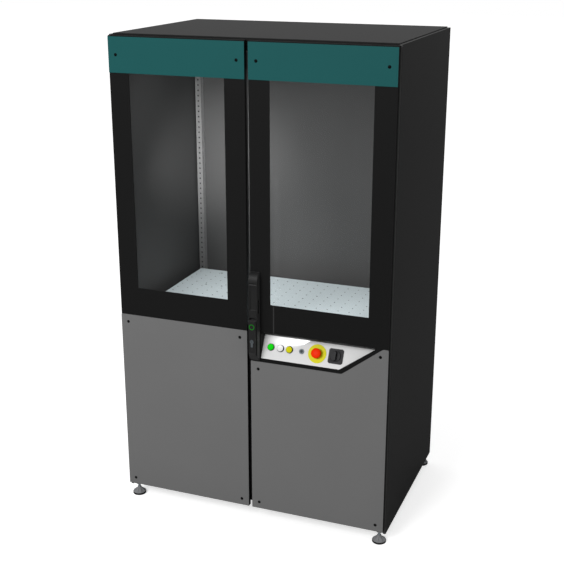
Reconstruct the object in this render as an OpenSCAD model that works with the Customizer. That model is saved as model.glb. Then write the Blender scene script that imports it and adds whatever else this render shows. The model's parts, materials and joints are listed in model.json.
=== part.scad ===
// Robot controller cabinet: a free-standing steel cabinet with two glazed doors, a perforated
// work plate above a closed electronics compartment, and an inclined operating console.
// Heights are counted from the lower edge of the doors, depths from the front faces of the
// door panels towards the back. Everything is then placed so that the origin is the middle
// of the footprint at floor level.

/* [Cabinet] */
// Width across both closed doors
front_w = 1200; // [1100:10:1300]
// Height of the doors from lower edge to the top of the header bars
door_h = 2000; // [1960:5:2060]
// Depth from the front faces of the doors to the back of the carcass
cabinet_d = 818; // [760:2:880]
// How far each side panel stands outside the doors
side_over = 7; // [5:0.5:9]
// How far the side panels and the back reach below the doors
skirt_drop = 20; // [10:1:30]
// Height of the door edge above the floor
floor_gap = 70; // [64:1:90]
// Sheet thickness of the outer panels
sheet = 2; // [1.5:0.25:2.5]
// Depth of the folded edges of the outer panels
panel_fold = 12; // [9:0.5:14]
// Thickness of the roof plate
roof_t = 4; // [3:0.5:5]
// Gap between the roof plate and the folds of the side panels
roof_clear = 1; // [0.5:0.25:2]

/* [Doors] */
// Gap between the two doors
door_gap = 16; // [12:0.5:18]
// Thickness of the screwed front plates
plate_t = 3; // [2:0.25:3.5]
// Depth of a door behind its front plates
door_d = 18; // [17:0.25:19]
// Height of a door above the top of its header bar
door_rise = 4; // [2:0.5:6]
// Width of the inner flange round the back of a door
flange_w = 44.5; // [42:0.25:46]
// Height of the header bars
bar_h = 143; // [120:1:160]
// Height of the lower panel of the left door
panel_h = 823; // [800:1:850]

/* [Windows] */
// Width of the door frame on both sides of a window
window_edge = 87; // [80:1:95]
// Height of the door frame between the lower panel and a window
window_sill = 125; // [115:1:135]
// Thickness of the glazing
pane_t = 4; // [3:0.5:5]
// How far the glazing laps behind the door sheet
pane_lap = 12; // [8:1:16]

/* [Console] */
// How far the lower edge of the console plate lies below the top of the lower panel
console_drop = 114; // [112:1:118]
// Height of the console plate along its slope
console_h = 101; // [96:1:103]
// Lean of the console plate from upright
console_lean = 28; // [24:1:30]
// Left edge of the console plate from the cabinet middle
console_x = 52; // [51:0.5:56]
// Distance of the right end of the console plate from the outer door edge
console_in = 55; // [54:0.5:60]
// Sideways run of the slanting edge over the full height of the plate
console_run = 158; // [150:1:160]
// How far the slanting edge, run up to the top of the plate, passes its right end
console_cut = 7; // [4:0.5:10]
// Visible border between the console and the lower panel
console_border = 16.5; // [12:0.5:18]
// Distance of the upper end of the lower panel's slant from the outer door edge
step_in = 23; // [20:1:28]
// Sideways run of the lower panel's slant
step_run = 171; // [165:1:176]
// Height of the control centres above the lower edge of the plate
control_s = 51.5; // [48:0.5:54]
// Gaps before the three buttons, the key switch, the stop and the main switch, of the free length
control_gap_shares = [0.1802, 0.1024, 0.0778, 0.2212, 0.1475, 0.086]; // six shares, under 1 in all

/* [Handle] */
// Middle of the handle from the cabinet middle
handle_x = 29.75; // [29:0.25:31]
// Width of the handle body
handle_w = 38.7; // [36:0.1:40]
// How far the lowest point of the handle lies below the console plate
handle_drop = 11; // [9:1:14]
// Length of the handle
handle_l = 387; // [375:1:395]
// How far the handle body stands off the door sheet
handle_d = 29.5; // [27:0.5:32]
// How far the lock block stands off the door sheet
lock_d = 43; // [40:0.5:46]
// Height of the top of the lock block above the lowest point of the handle
lock_l = 184; // [170:1:194]
// Swing of the handle lever
lever_swing = 40; // [20:1:45]

/* [Frame] */
// Distance of the carcass frame behind the front faces
frame_y = 27; // [26.5:0.25:28]
// Width of an upright
post_w = 28; // [24:1:30]
// Depth of an upright
post_d = 30; // [26:1:36]
// Sheet thickness of the frame
frame_t = 2; // [1.5:0.25:2.5]
// Hole spacing of the uprights
post_pitch = 25; // [20:1:30]
// Hole diameter of the uprights
post_hole = 9; // [6:0.5:11]
// Height of the top rails
top_rail_h = 45; // [44:1:50]
// Lower edge of the front and back base rails
base_rail_z = 15; // [12:1:18]
// Upper edge of the base rails
base_rail_top = 55; // [50:1:60]

/* [Work plate] */
// How far the work plate's top lies above the top of the lower panel
table_rise = 8; // [4:1:12]
// Thickness of the work plate
table_t = 8; // [6:0.5:10]
// Distance of the work plate's side edges from the outer door edges
table_in = 55; // [50:1:60]
// Front edge of the work plate behind the front faces
table_y = 52; // [50:1:60]
// Distance of the work plate's rear edge from the back
table_rear = 126; // [116:2:146]
// Hole spacing of the work plate
table_pitch = 50; // [40:5:60]
// Hole diameter of the work plate
table_hole = 6; // [5:0.5:8]

/* [Feet] */
// Diameter of a foot
foot_dia = 60; // [50:1:64]
// Diameter of a foot spindle
spindle_dia = 12; // [10:1:16]
// Distance of a foot from the outer face of the side panel
foot_in = 32; // [30:1:36]
// Distance of the front feet behind the front faces
foot_front = 42; // [40:1:60]
// Distance of the rear feet in front of the back
foot_rear = 30; // [28:1:60]

/* [Hinges] */
// Diameter of a hinge pin
pin_dia = 6; // [5:0.5:7]
// Distance of a hinge axis from the outer door edge
hinge_in = 8; // [7.5:0.25:8.5]
// Distance of a hinge axis behind the front faces
hinge_y = 10; // [9.5:0.25:10.5]
// Distance of the outer hinges from the ends of the doors
hinge_end = 230; // [150:5:260]

/* [Hidden] */
$fn = 48;

// Clearances
fit = 0.05;
gap = 0.3;
play = 0.5;
over = 1;

// Levels and edges that follow from the driving dimensions
half_w = front_w / 2;
side_x = half_w + side_over;
meet_x = door_gap / 2;
face_y = plate_t;
back_y = plate_t + door_d;
door_top = door_h + door_rise;
roof_z = door_h + side_over;
reach = lock_d - plate_t + over;
origin_y = (reach - cabinet_d) / 2;
window_x0 = meet_x + window_edge;
window_x1 = half_w - window_edge;
window_z0 = panel_h + window_sill;
window_z1 = door_h - bar_h;
console_z = panel_h - console_drop;
handle_z = console_z - handle_drop;
table_z = panel_h + table_rise;
hinge_zs = [hinge_end, door_h / 2, door_h - hinge_end];
post_x1 = side_x - panel_fold;
post_x0 = post_x1 - post_w;
rear_fold = 6;
post_y1 = cabinet_d - rear_fold - gap;
side_clear = 3;
side_y = back_y + side_clear;
post_z0 = base_rail_top;
post_z1 = roof_z - top_rail_h;

// Screws that hold the front plates
screw_in = 33;
screw_low = 30;
screw_head_r = 6;
screw_head_t = 2;
screw_r = 2.5;
screw_l = 9;
bar_screw_z = door_h - bar_h / 2;

// Colours
black_paint = [0.115, 0.115, 0.115];
roof_grey = [0.29, 0.29, 0.29];
panel_grey = [0.42, 0.42, 0.42];
teal = [0.13, 0.345, 0.345];
zinc = [0.72, 0.74, 0.75];
dark_plastic = [0.16, 0.16, 0.17];
inner_grey = [0.36, 0.36, 0.36];

// Places a piece drawn from the door edge and the front faces into the cabinet's own frame
module placed() {
    translate([0, origin_y, floor_gap]) children();
}

// A plate of the given outline, drawn in width and height, between two depths
module slab(y0, y1) {
    translate([0, y1, 0]) rotate([90, 0, 0]) linear_extrude(y1 - y0) children();
}

// A rectangle between two corners
module area(x0, z0, x1, z1) {
    translate([x0, z0]) square([x1 - x0, z1 - z0]);
}

// A box between two corners
module block(a, b) {
    translate(a) cube(b - a);
}

// A rectangular ring of the given width inside two corners
module ring_area(x0, z0, x1, z1, w) {
    difference() {
        area(x0, z0, x1, z1);
        area(x0 + w, z0 + w, x1 - w, z1 - w);
    }
}

// A cylinder from one depth to another, seen as a circle from the front
module front_rod(x, z, r, y0, y1) {
    translate([x, y1, z]) rotate([90, 0, 0]) cylinder(r = r, h = y1 - y0);
}

// Points of an arc about a centre, from one angle to another
function arc(c, r, from, to, steps = 8) =
    [for (i = [0:steps]) let (a = from + (to - from) * i / steps) c + r * [cos(a), sin(a)]];

// The left half is the mirrored right half
module mirrored(side) {
    mirror([side < 0 ? 1 : 0, 0, 0]) children();
}

// Doors

module door_area(inset) {
    area(meet_x + inset, inset, half_w - inset, door_top - inset);
}

module window_area(grow) {
    area(window_x0 - grow, window_z0 - grow, window_x1 + grow, window_z1 + grow);
}

// Hinge lugs: two ears per hinge, welded to the folded edge of the door
lug_r = 5.5;
lug_t = 6;
arm_half = 11;
arm_t = 3;
arm_run = 22;
notch_half = 24;

module lug_ear() {
    difference() {
        union() {
            cylinder(r = lug_r, h = lug_t);
            translate([0, -lug_r, 0]) cube([hinge_in - sheet + fit, 2 * lug_r, lug_t]);
        }
        translate([0, 0, -over]) cylinder(r = pin_dia / 2 + fit, h = lug_t + 2 * over);
    }
}

module hinge_lugs() {
    for (z = hinge_zs)
        for (low = [z - arm_half - gap - lug_t, z + arm_half + gap])
            translate([half_w - hinge_in, hinge_y, low]) lug_ear();
}

// Guides screwed on the back of the right door, which carry the two lock rods
rod_w = 10;
rod_t = 6;
rod_off = 9;
rod_y = back_y + rod_off;
guide_h = 16;
guide_wall = 3;
guide_low_share = 0.41;
guide_high_shares = [0.3, 0.69];

module rod_guides() {
    half = rod_w / 2 + guide_wall;
    low = base_rail_top;
    high = handle_z + case_z1;
    guide_zs = concat([low + (handle_z + case_z0 - low) * guide_low_share],
                      [for (share = guide_high_shares) high + (post_z1 - high) * share]);
    for (z = guide_zs) difference() {
        block([handle_x - half, back_y, z],
              [handle_x + half, rod_y + rod_t + guide_wall, z + guide_h]);
        block([handle_x - rod_w / 2 - play, rod_y - play, z - over],
              [handle_x + rod_w / 2 + play, rod_y + rod_t + play, z + guide_h + over]);
    }
}

module door_shell(with_console) {
    difference() {
        union() {
            slab(face_y, face_y + sheet) door_area(0);
            slab(face_y, back_y) difference() {
                door_area(0);
                door_area(sheet);
            }
            slab(back_y - sheet, back_y) difference() {
                door_area(0);
                door_area(flange_w);
            }
            hinge_lugs();
        }
        slab(face_y - over, face_y + sheet + over) window_area(0);
        for (z = hinge_zs)
            block([post_x0 + gap, back_y - sheet - over, z - notch_half],
                  [half_w - sheet, back_y + over, z + notch_half]);
        screw_places(with_console)
            front_rod(0, 0, screw_r + fit, face_y - over, face_y + sheet + over);
        if (with_console) console_prism(sheet + gap, -console_t - sheet - gap, back_y + over);
    }
}

// Screw places of one door, from the cabinet middle and the door edge
module screw_places(with_console) {
    low_z = with_console ? console_z - console_border - screw_in : panel_h - screw_in;
    for (p = [[meet_x + screw_in, bar_screw_z], [half_w - screw_in, bar_screw_z],
              [meet_x + screw_in, low_z], [half_w - screw_in, panel_h - screw_in],
              [meet_x + screw_in, screw_low], [half_w - screw_in, screw_low]])
        translate([p[0], 0, p[1]]) children();
}

module panel_screws(with_console) {
    color(black_paint) screw_places(with_console) {
        difference() {
            front_rod(0, 0, screw_head_r, -screw_head_t, 0);
            front_rod(0, 0, screw_r, -screw_head_t - over, -screw_head_t / 2);
        }
        front_rod(0, 0, screw_r, -fit, screw_l);
    }
}

module header_bar() {
    color(teal) difference() {
        slab(0, plate_t) area(meet_x, door_h - bar_h, half_w, door_h);
        for (x = [meet_x + screw_in, half_w - screw_in])
            front_rod(x, bar_screw_z, screw_r + fit, -over, plate_t + over);
    }
}

module window_pane() {
    color([0.8, 0.86, 0.88, 0.25])
        slab(face_y + 2 * sheet, face_y + 2 * sheet + pane_t) window_area(pane_lap);
}

// Rubber frame round the glazing, and the foam strip that meets the carcass frame
seal_edge = 3;
strip_w = 9;
strip_in = hinge_in + arm_run + over;

module door_seals() {
    color(black_paint) {
        slab(face_y + sheet, face_y + 2 * sheet) difference() {
            window_area(pane_lap + seal_edge);
            window_area(0);
        }
        slab(face_y + 2 * sheet, face_y + 2 * sheet + pane_t) difference() {
            window_area(pane_lap + seal_edge);
            window_area(pane_lap + gap);
        }
        slab(back_y, frame_y - gap)
            ring_area(meet_x + strip_in, strip_in, half_w - strip_in, door_top - strip_in, strip_w);
    }
}

// Console: a recess whose floor leans back, formed with walls square to its floor

console_end = half_w - console_in;
console_low = console_end + console_cut - console_run - console_x;
console_k = console_run / console_h;
console_q = sqrt(1 + console_k * console_k);
console_turn = atan(1 / console_k);
console_round = 12;

// Where the slanting edge crosses a height on the plate
function console_edge(s, grow) = console_x + console_low + s * console_k + grow * console_q;

module console_area(grow) {
    top = console_h + grow;
    right = min(console_end + grow, console_edge(top, grow));
    tip = (right - console_edge(0, grow)) / console_k;
    round = console_round + grow;
    corner = [console_edge(-grow, grow) - round * tan(console_turn / 2), round - grow];
    polygon(concat([[console_x - grow, -grow]], arc(corner, round, -90, console_turn - 90),
                   [[right, tip], [right, top], [console_x - grow, top]]));
}

// Children are drawn on the console plate: across, up the slope, and out from the plate
module on_console() {
    translate([0, face_y, console_z]) rotate([90 - console_lean, 0, 0]) children();
}

// The recess outline run square out of the plate, kept between two depths of the door
console_out = 70;
module console_prism(grow, low, deep) {
    intersection() {
        on_console() translate([0, 0, low]) linear_extrude(console_out) console_area(grow);
        block([0, face_y - over, 0], [half_w, deep, door_top]);
    }
}

console_t = 3;

module console_housing() {
    color(black_paint) difference() {
        intersection() {
            on_console() translate([0, 0, -console_t - sheet])
                linear_extrude(console_out) console_area(sheet);
            block([0, face_y, 0], [half_w, cabinet_d, door_top]);
        }
        on_console() translate([0, 0, -console_t]) linear_extrude(console_out) console_area(0);
        on_console() control_holes(-console_t - sheet - over);
    }
}

// Places of the controls: each takes its own width, and the free length is shared between them
bezel_r = 15;
key_ring_r = 11;
stop_disc_r = 39;
switch_side = 62;
control_rs = [bezel_r, bezel_r, bezel_r, key_ring_r, stop_disc_r, switch_side / 2];
control_free = console_edge(control_s - switch_side / 2, 0) - console_x - 2 * sum_to(control_rs, 5);
function sum_to(list, i) = i < 0 ? 0 : list[i] + sum_to(list, i - 1);
function control_x(i) = console_x + control_free * sum_to(control_gap_shares, i)
    + 2 * sum_to(control_rs, i) - control_rs[i];
button_xs = [control_x(0), control_x(1), control_x(2)];
key_x = control_x(3);
stop_x = control_x(4);
switch_x = control_x(5);

barrel_r = 11;
stem_r = 9;
key_r = 9;
stop_stem_r = 15;
stop_barrel_r = 17;
shaft_r = 5;

module control_holes(low) {
    for (x = button_xs) translate([x, control_s, low]) cylinder(r = barrel_r + gap, h = console_out / 2);
    translate([key_x, control_s, low]) cylinder(r = key_r + gap, h = console_out / 2);
    translate([stop_x, control_s, low]) cylinder(r = stop_barrel_r + gap, h = console_out / 2);
    translate([switch_x, control_s, low]) cylinder(r = key_r + gap, h = console_out / 2);
}

module console_face() {
    color([0.9, 0.9, 0.9]) difference() {
        on_console() translate([0, 0, -console_t]) linear_extrude(console_t) console_area(-gap);
        on_console() control_holes(-console_t - over);
    }
}

// Push buttons, each in a bezel with a threaded barrel behind the plate
bezel_h = 6;
barrel_l = 34;
cap_r = 13;
cap_top = 9.5;
cap_t = 3.7;
press = 4;
bezel_floor = cap_top - cap_t - press - gap;
stem_l = 24;

module button_bezel() {
    difference() {
        union() {
            cylinder(r = bezel_r, h = bezel_h);
            translate([0, 0, -barrel_l]) cylinder(r = barrel_r, h = barrel_l);
        }
        translate([0, 0, bezel_floor]) cylinder(r = cap_r + gap, h = bezel_h);
        translate([0, 0, -barrel_l + over]) cylinder(r = stem_r + fit, h = barrel_l + bezel_h);
    }
}

module button_cap() {
    crown = 1;
    rotate_extrude() polygon([[0, -stem_l], [stem_r, -stem_l], [stem_r, cap_top - cap_t],
        [cap_r, cap_top - cap_t], [cap_r, cap_top - crown], [cap_r - crown, cap_top],
        [0, cap_top]]);
}

key_ring_h = 4;
key_core_r = 7;

module key_body() {
    difference() {
        union() {
            cylinder(r = key_ring_r, h = key_ring_h);
            translate([0, 0, -barrel_l]) cylinder(r = key_r, h = barrel_l);
        }
        translate([0, 0, -barrel_l + over]) cylinder(r = key_core_r + fit, h = barrel_l + key_ring_h);
    }
}

module key_core() {
    slot_w = 2;
    slot_l = 8;
    tab_w = 3;
    core_rise = 0.5;
    difference() {
        translate([0, 0, -stem_l]) cylinder(r = key_core_r, h = stem_l + key_ring_h + core_rise);
        translate([-slot_w / 2, -slot_l / 2, -tab_w]) cube([slot_w, slot_l, console_out]);
    }
}

stop_disc_t = 2;
stop_press = 5;
stop_clear = 4;
stop_neck_h = stop_disc_t + stop_press + stop_clear;
stop_spigot_r = 8;
stop_spigot_h = 8;
stop_head_r = 21;
stop_head_h = 15;
stop_stem_l = 40;

module stop_stem() {
    translate([0, 0, -stop_stem_l]) cylinder(r = stop_stem_r, h = stop_stem_l + stop_neck_h);
    translate([0, 0, stop_neck_h - over]) cylinder(r = stop_spigot_r, h = stop_spigot_h + over);
}

// Mushroom head with a domed top and a rounded rim, turning on the stem's spigot
module stop_head() {
    rim = 5;
    dome = 4;
    step = 1;
    low = stop_neck_h + gap;
    top = low + stop_head_h;
    difference() {
        rotate_extrude() polygon(concat(
            [[0, low], [stop_head_r - rim / 2, low], [stop_head_r, low + rim / 2],
             [stop_head_r, top - dome - rim / 2]],
            [for (p = arc([0, 0], 1, 0, 90)) [(stop_head_r - step) * p[0], top - dome * (1 - p[1])]]));
        translate([0, 0, low - over]) cylinder(r = stop_spigot_r + fit, h = stop_spigot_h + over);
    }
}

switch_t = 4;
knob_r = 21;
knob_t = 6;
knob_top = 22;
knob_grip = 9;

module switch_plate() {
    corner = 4;
    well = 2;
    difference() {
        union() {
            translate([0, 0, switch_t / 2]) cube([switch_side, switch_side, switch_t], center = true);
            translate([0, 0, -barrel_l]) cylinder(r = key_r, h = barrel_l);
        }
        for (a = [0:90:270]) rotate([0, 0, a + 45])
            translate([switch_side / 2 * sqrt(2) - corner, -switch_side / 2, -over])
                cube([switch_side, switch_side, switch_t + 2 * over]);
        translate([0, 0, switch_t - well]) cylinder(r = knob_r + gap, h = switch_t);
        translate([0, 0, -barrel_l + over]) cylinder(r = shaft_r + fit, h = barrel_l + switch_t);
    }
}

module switch_knob() {
    low = switch_t / 2 + gap;
    translate([0, 0, low]) cylinder(r = knob_r, h = knob_t);
    intersection() {
        translate([-knob_grip / 2, -knob_r, low]) cube([knob_grip, 2 * knob_r, knob_top - low]);
        translate([0, 0, low]) cylinder(r1 = knob_r, r2 = knob_r - knob_grip / 2, h = knob_top - low);
    }
    translate([0, 0, -stem_l]) cylinder(r = shaft_r, h = stem_l + low + knob_t / 2);
}

// Controls on the console, each drawn about its own axis

module at_control(x) {
    on_console() translate([x, control_s, 0]) children();
}

module control_bezels() {
    color(dark_plastic) {
        for (x = button_xs) at_control(x) button_bezel();
        at_control(key_x) key_body();
    }
}

module push_button(i, tint) {
    color(tint) at_control(button_xs[i]) button_cap();
}

module key_rotor() {
    color(zinc) at_control(key_x) key_core();
}

module estop_collar() {
    color([0.85, 0.82, 0.05]) at_control(stop_x) difference() {
        union() {
            cylinder(r = stop_disc_r, h = stop_disc_t);
            translate([0, 0, -barrel_l]) cylinder(r = stop_barrel_r, h = barrel_l);
        }
        translate([0, 0, -barrel_l - over])
            cylinder(r = stop_stem_r + fit, h = barrel_l + stop_disc_t + 2 * over);
    }
}

module estop_stem() {
    color([0.75, 0.12, 0.05]) at_control(stop_x) stop_stem();
}

module estop_head() {
    color([0.85, 0.16, 0.05]) at_control(stop_x) stop_head();
}

module main_switch_plate() {
    color(dark_plastic) at_control(switch_x) switch_plate();
}

module main_switch_knob() {
    color(dark_plastic) at_control(switch_x) switch_knob();
}

// Handle

handle_x0 = handle_x - handle_w / 2;
handle_x1 = handle_x + handle_w / 2;
handle_y = face_y - handle_d;
lock_y = face_y - lock_d;
lock_z = handle_z + lock_l;
cheek = 3;
cap_h = 42;
lever_z1 = handle_z + handle_l - cap_h - play;
lever_z0 = lock_z + 11;
lever_r = 11;
lever_pin_r = 2.5;
lever_pin_y = handle_y + lever_r;
lever_pin_z = lever_z1 - lever_r;
lever_t = 20;
chin_z = 29;
chin_y = 18;
chin_low = 4;

// An outline drawn in depth and height, run across the handle between two sides
module across(x0, x1) {
    translate([x0, 0, 0]) rotate([90, 0, 90]) linear_extrude(x1 - x0) children();
}

module handle_side() {
    top = handle_z + handle_l;
    polygon(concat(
        [[face_y, handle_z], [handle_y + chin_y, handle_z + chin_low], [handle_y, handle_z + chin_z]],
        [for (p = arc([0, 0], 1, 0, 90)) [face_y - handle_d * p[0], top - cap_h * (1 - p[1])]]));
}

slot_rise = 28;
slot_z = lock_l + slot_rise;
slot_h = 59;
slot_w = 10;

module handle_housing() {
    color(dark_plastic) {
        difference() {
            across(handle_x0, handle_x1) handle_side();
            block([handle_x0 + cheek, handle_y - over, lock_z],
                  [handle_x1 - cheek, face_y - sheet, lever_z1 + play]);
            // finger slot through the outer cheek
            translate([handle_x1 - cheek - over, 0, handle_z + slot_z]) rotate([90, 0, 90])
                linear_extrude(cheek + 2 * over) translate([handle_y + handle_d / 2 - slot_w / 2, 0]) {
                    area(0, slot_w / 2, slot_w, slot_h - slot_w / 2);
                    for (z = [slot_w / 2, slot_h - slot_w / 2])
                        translate([slot_w / 2, z]) circle(r = slot_w / 2);
                }
        }
        translate([handle_x0 + over, lever_pin_y, lever_pin_z]) rotate([0, 90, 0])
            cylinder(r = lever_pin_r, h = handle_w - 2 * over);
    }
}

// Lever: a hollow grip with a finger dish in its front, pivoting on the pin near its top
module handle_lever() {
    x0 = handle_x0 + cheek + play;
    x1 = handle_x1 - cheek - play;
    dish = 4;
    dish_in = 3;
    dish_low = 36;
    dish_end = 10;
    hollow = 12;
    hollow_in = 5;
    color(dark_plastic) difference() {
        across(x0, x1) union() {
            area(handle_y, lever_z0, handle_y + lever_t, lever_pin_z);
            translate([lever_pin_y, lever_pin_z]) circle(r = lever_r);
        }
        across(x0 + dish_in, x1 - dish_in) union() {
            area(handle_y - over, lever_z0 + dish_low, handle_y + dish, lever_z1 - dish_end);
            translate([handle_y - over, lever_z0 + dish_low]) intersection() {
                circle(r = dish + over);
                translate([0, -console_out]) square([console_out, console_out]);
            }
        }
        block([x0 + hollow_in, handle_y + lever_t - hollow, lever_z0 + hollow_in],
              [x1 - hollow_in, face_y, lever_pin_z - lever_r - hollow_in]);
        translate([x0 - over, lever_pin_y, lever_pin_z]) rotate([0, 90, 0])
            cylinder(r = lever_pin_r + fit, h = handle_w);
    }
}

// Lock block: carries the release button and the profile cylinder
block_w = 29;
ring_drop = 24;
ring_z = lock_l - ring_drop;
ring_r = 12.3;
ring_in = 8;
ring_t = 2;
button_travel = 2;
button_deep = 8;
cyl_drop = 64.5;
cyl_z = ring_z - cyl_drop;
cyl_r = 8.5;
cyl_stem = 10;
cyl_h = 33;
cyl_deep = 12;
plug_r = 6.8;
seat = 0.4;

module lock_block() {
    color(dark_plastic) difference() {
        across(handle_x - block_w / 2, handle_x + block_w / 2)
            polygon([[handle_y, lock_z], [lock_y, lock_z], [lock_y, handle_z + chin_z + chin_y],
                     [handle_y, handle_z + chin_z]]);
        front_rod(handle_x, handle_z + ring_z, ring_r + fit, lock_y - over, lock_y + ring_t);
        front_rod(handle_x, handle_z + ring_z, ring_in + fit, lock_y - over, lock_y + button_deep);
        slab(lock_y - over, lock_y + cyl_deep) cylinder_area(fit);
    }
}

module cylinder_area(grow) {
    translate([handle_x, handle_z + cyl_z]) {
        circle(r = cyl_r + grow);
        translate([-cyl_stem / 2 - grow, cyl_r - cyl_h + cyl_stem / 2])
            square([cyl_stem + 2 * grow, cyl_h - cyl_r - cyl_stem / 2]);
        translate([0, cyl_r - cyl_h + cyl_stem / 2]) circle(r = cyl_stem / 2 + grow);
    }
}

module release_ring() {
    color([0, 0.6, 0]) difference() {
        front_rod(handle_x, handle_z + ring_z, ring_r, lock_y - seat, lock_y + ring_t);
        front_rod(handle_x, handle_z + ring_z, ring_in + fit, lock_y - over, lock_y + ring_t + over);
    }
}

module release_button() {
    color(dark_plastic) front_rod(handle_x, handle_z + ring_z, ring_in,
        lock_y - seat, lock_y + button_deep - button_travel - gap);
}

module lock_cylinder() {
    color([0.5, 0.56, 0.58]) difference() {
        slab(lock_y - seat, lock_y + cyl_deep) cylinder_area(0);
        front_rod(handle_x, handle_z + cyl_z, plug_r + fit, lock_y - over, lock_y + cyl_deep - over);
    }
}

module lock_plug() {
    key_w = 2;
    key_h = 8;
    color([0.62, 0.64, 0.62]) difference() {
        front_rod(handle_x, handle_z + cyl_z, plug_r, lock_y - over, lock_y + cyl_deep - over - gap);
        block([handle_x - key_w / 2, lock_y - 2 * over, handle_z + cyl_z - key_h / 2],
              [handle_x + key_w / 2, lock_y + over, handle_z + cyl_z + key_h / 2]);
    }
}

// Lock case on the back of the door, and the two flat rods that it drives
case_rise = 66;
case_h = 110;
case_z0 = lock_l + case_rise;
case_z1 = case_z0 + case_h;
case_deep = 22;
case_half = 9;
rod_in = 34;
pinion_r = 25.06;
rod_travel = pinion_r * lever_swing * PI / 180 + play;
rod_clear = 1.5;

module lock_case() {
    color(zinc) {
        difference() {
            block([handle_x - case_half, back_y, handle_z + case_z0],
                  [handle_x + case_half, back_y + case_deep, handle_z + case_z1]);
            for (z = [handle_z + case_z0 - over, handle_z + case_z1 - rod_in - rod_travel])
                block([handle_x - rod_w / 2 - play, rod_y - play, z],
                      [handle_x + rod_w / 2 + play, rod_y + rod_t + play, z + rod_in + rod_travel + over]);
        }
        rod_guides();
    }
}

// A flat rod with a bevelled tip, drawn upwards from its inner end
module lock_rod(length) {
    bevel = 3;
    color(zinc) slab(rod_y, rod_y + rod_t)
        polygon([[-rod_w / 2, 0], [rod_w / 2, 0], [rod_w / 2, length - 2 * bevel],
                 [rod_w / 2 - bevel, length], [bevel - rod_w / 2, length], [-rod_w / 2, length - 2 * bevel]]);
}

module upper_lock_rod() {
    z0 = handle_z + case_z1 - rod_in;
    translate([handle_x, 0, z0]) lock_rod(post_z1 - rod_clear - z0);
}

module lower_lock_rod() {
    z1 = handle_z + case_z0 + rod_in;
    translate([handle_x, 0, z1]) mirror([0, 0, 1]) lock_rod(z1 - base_rail_top - rod_clear);
}

// Left door only: a folded strip that stiffens its free edge
strip_x = 14;
strip_clear = 3;
module meeting_strip() {
    z0 = base_rail_top + strip_clear;
    z1 = post_z1 - strip_clear;
    color(black_paint) difference() {
        block([-meet_x - strip_x, back_y, z0], [-meet_x, back_y + strip_x, z1]);
        block([-meet_x - strip_x + sheet, back_y - over, z0 - over],
              [-meet_x - sheet, back_y + strip_x - sheet, z1 + over]);
    }
}

// Lower panels

panel_round = 5;
step_round = 15;

module left_lower_panel() {
    color(panel_grey) difference() {
        slab(0, plate_t) polygon(concat([[-half_w, 0], [-meet_x, 0], [-meet_x, panel_h]],
            arc([panel_round - half_w, panel_h - panel_round], panel_round, 90, 180)));
        for (x = [-meet_x - screw_in, -half_w + screw_in]) for (z = [screw_low, panel_h - screw_in])
            front_rod(x, z, screw_r + fit, -over, plate_t + over);
    }
}

// The right panel steps down under the console along a slanting edge with rounded corners
module right_panel_area() {
    low_z = console_z - console_border;
    step_end = half_w - step_in;
    step_x = step_end - step_run;
    angle = atan((panel_h - low_z) / step_run);
    inner = step_round * tan(angle / 2);
    polygon(concat([[meet_x, 0], [half_w, 0]],
        arc([half_w - panel_round, panel_h - panel_round], panel_round, 0, 90),
        arc([step_end + inner, panel_h - step_round], step_round, 90, 90 + angle),
        arc([step_x - inner, low_z + step_round], step_round, angle - 90, -90),
        [[meet_x, low_z]]));
}

module right_lower_panel() {
    color(panel_grey) difference() {
        slab(0, plate_t) right_panel_area();
        screw_places(true) front_rod(0, 0, screw_r + fit, -over, plate_t + over);
    }
}

// Carcass

// A folded tray: a sheet with a rim all round, drawn in its own plane
module tray(w, h, d, t) {
    difference() {
        cube([w, h, d]);
        translate([t, t, t]) cube([w - 2 * t, h - 2 * t, d]);
    }
}

module side_panel(side) {
    color(black_paint) mirrored(side)
        translate([side_x, side_y, -skirt_drop]) rotate([0, -90, 0])
            tray(roof_z + skirt_drop, cabinet_d - side_y, panel_fold, sheet);
}

module rear_panel() {
    width = 2 * (side_x - panel_fold - gap);
    height = roof_z + skirt_drop - over;
    color(black_paint) translate([-width / 2, cabinet_d, -skirt_drop]) rotate([90, 0, 0])
        tray(width, height, rear_fold, sheet);
}

module roof_plate() {
    lip = 8;
    edge = side_x - panel_fold - roof_clear;
    color(roof_grey) block([-edge, frame_y + lip, roof_z], [edge, cabinet_d - sheet, roof_z + roof_t]);
}

// Upright: two perforated faces and two plain edges folded from one sheet
module perforated_strip(w, h) {
    count = floor((h - post_pitch) / post_pitch);
    start = (h - (count - 1) * post_pitch) / 2;
    linear_extrude(frame_t) difference() {
        square([w, h]);
        for (i = [0:count - 1])
            translate([w / 2, start + i * post_pitch]) circle(d = post_hole);
    }
}

// The perforated faces look forwards and into the cabinet; a front upright has a sealing lip
post_lip = 11;
post_hem = 10;
module upright(front, side) {
    h = post_z1 - post_z0;
    color(inner_grey) mirrored(side) translate([post_x0, front ? frame_y : post_y1 - post_d, post_z0]) {
        translate([0, frame_t, 0]) rotate([90, 0, 0]) perforated_strip(post_w, h);
        rotate([90, 0, 90]) perforated_strip(post_d, h);
        translate([0, post_d - frame_t, 0]) cube([post_hem, frame_t, h]);
        translate([post_w - frame_t, 0, 0]) cube([frame_t, post_hem, h]);
        if (front) translate([-post_lip, 0, 0]) cube([post_lip + frame_t, frame_t, h]);
    }
}

// Frame rails: folded channels, open towards the outer panels
rail_wall = 3;
rail_low = sheet - skirt_drop;

module side_rail(side, z0, z1) {
    mirrored(side) difference() {
        block([post_x0, frame_y, z0], [post_x1, post_y1, z1]);
        block([post_x0 + rail_wall, frame_y + rail_wall, z0 + rail_wall],
              [post_x1 + over, post_y1 - rail_wall, z1 - rail_wall]);
    }
}

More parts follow.
